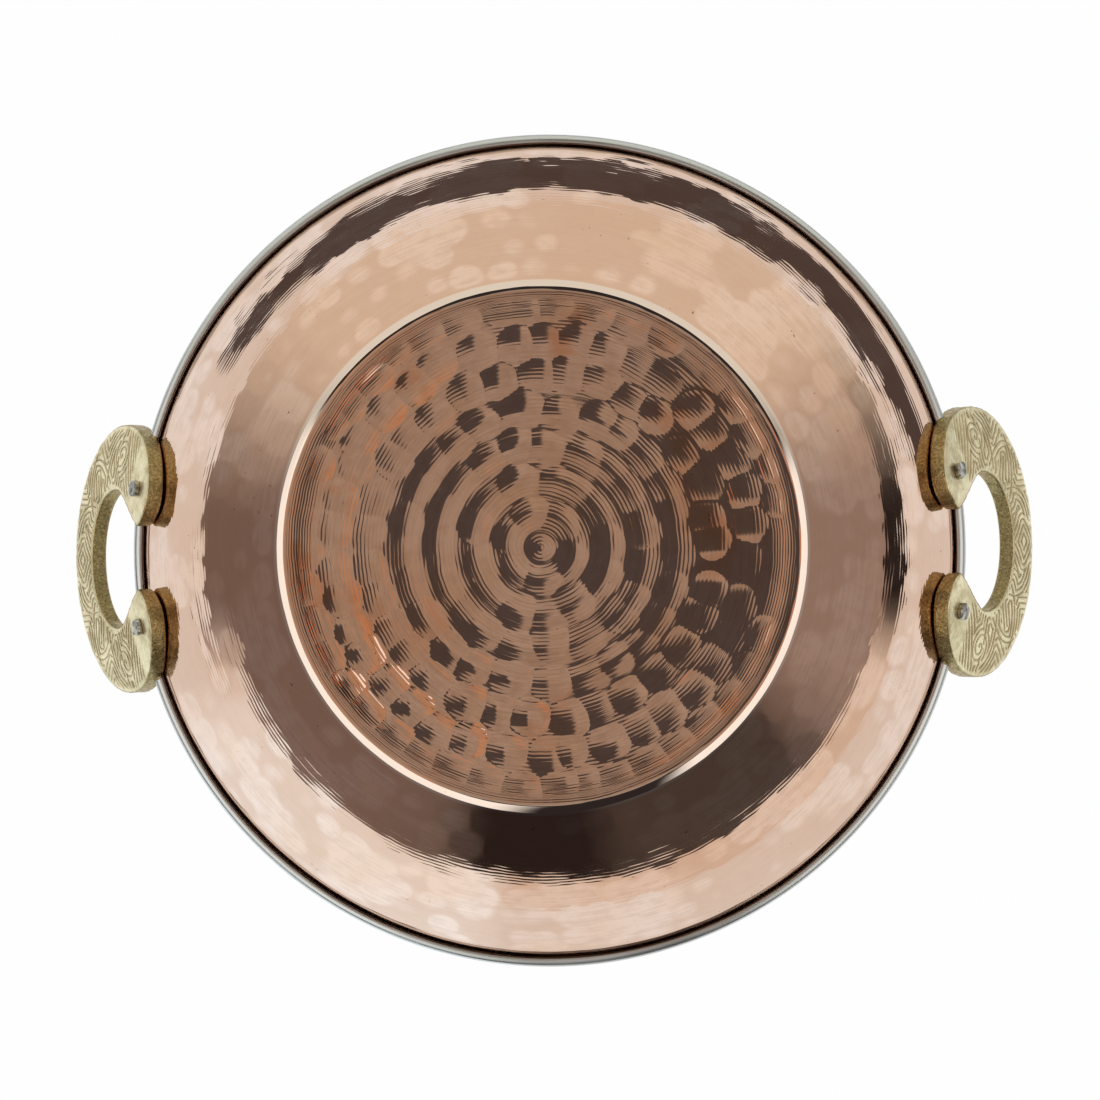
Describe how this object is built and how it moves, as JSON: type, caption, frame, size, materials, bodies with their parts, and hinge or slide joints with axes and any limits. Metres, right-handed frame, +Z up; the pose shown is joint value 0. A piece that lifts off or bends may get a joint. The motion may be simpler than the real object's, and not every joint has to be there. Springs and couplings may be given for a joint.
{
  "type": "bowl",
  "caption": "Shallow hammered copper serving bowl with a polished steel lining rolled over the rim and a riveted cast brass horseshoe handle on each side.",
  "frame": {"origin": "centre of the base's underside, where the bowl rests", "axes": "+Z up through the bowl's mouth, +X towards one handle"},
  "size_m": [0.2994, 0.25, 0.0872],
  "materials": {
    "copper": "bright hammered copper with fine turned lines",
    "polished_steel": "polished",
    "cast_brass": "pale cast brass, engraved face and rough sides",
    "rivet_steel": "hammered rivet ends"
  },
  "bodies": {
    "root": {"outer_shell": "copper", "inner_liner": "polished_steel", "handle_left": "cast_brass", "handle_right": "cast_brass", "rivet_left_front": "rivet_steel", "rivet_left_back": "rivet_steel", "rivet_right_front": "rivet_steel", "rivet_right_back": "rivet_steel"}
  },
  "joints": []
}
